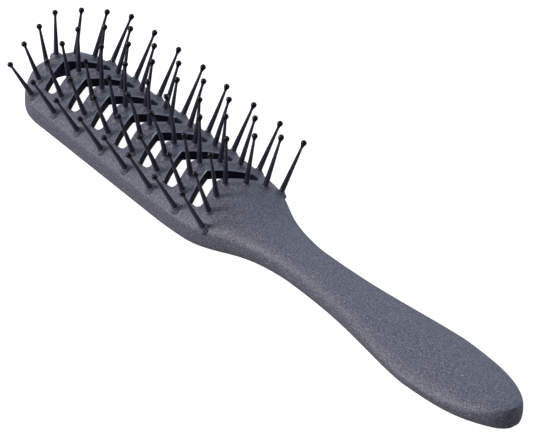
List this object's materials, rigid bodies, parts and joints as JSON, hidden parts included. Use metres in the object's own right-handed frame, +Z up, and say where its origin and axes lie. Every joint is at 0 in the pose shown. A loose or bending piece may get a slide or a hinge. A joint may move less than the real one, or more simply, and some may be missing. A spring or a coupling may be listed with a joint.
{
  "type": "vent brush",
  "caption": "Hairbrush with an arched open-backed head, V-shaped air vents between rows of ball-tipped pins, and a flat oval handle",
  "frame": {"origin": "on the table under the middle of the brush, as it lies on its back with the pins up", "axes": "+X from the head's tip to the handle's end, +Y across the brush, +Z up, the way the pins point"},
  "size_m": [0.2, 0.0404, 0.026],
  "materials": {
    "charcoal_plastic": "fine spark-eroded grain on head and handle, smoother on pins and ball tips"
  },
  "bodies": {
    "root": {"vent_brush": "charcoal_plastic"}
  },
  "joints": []
}
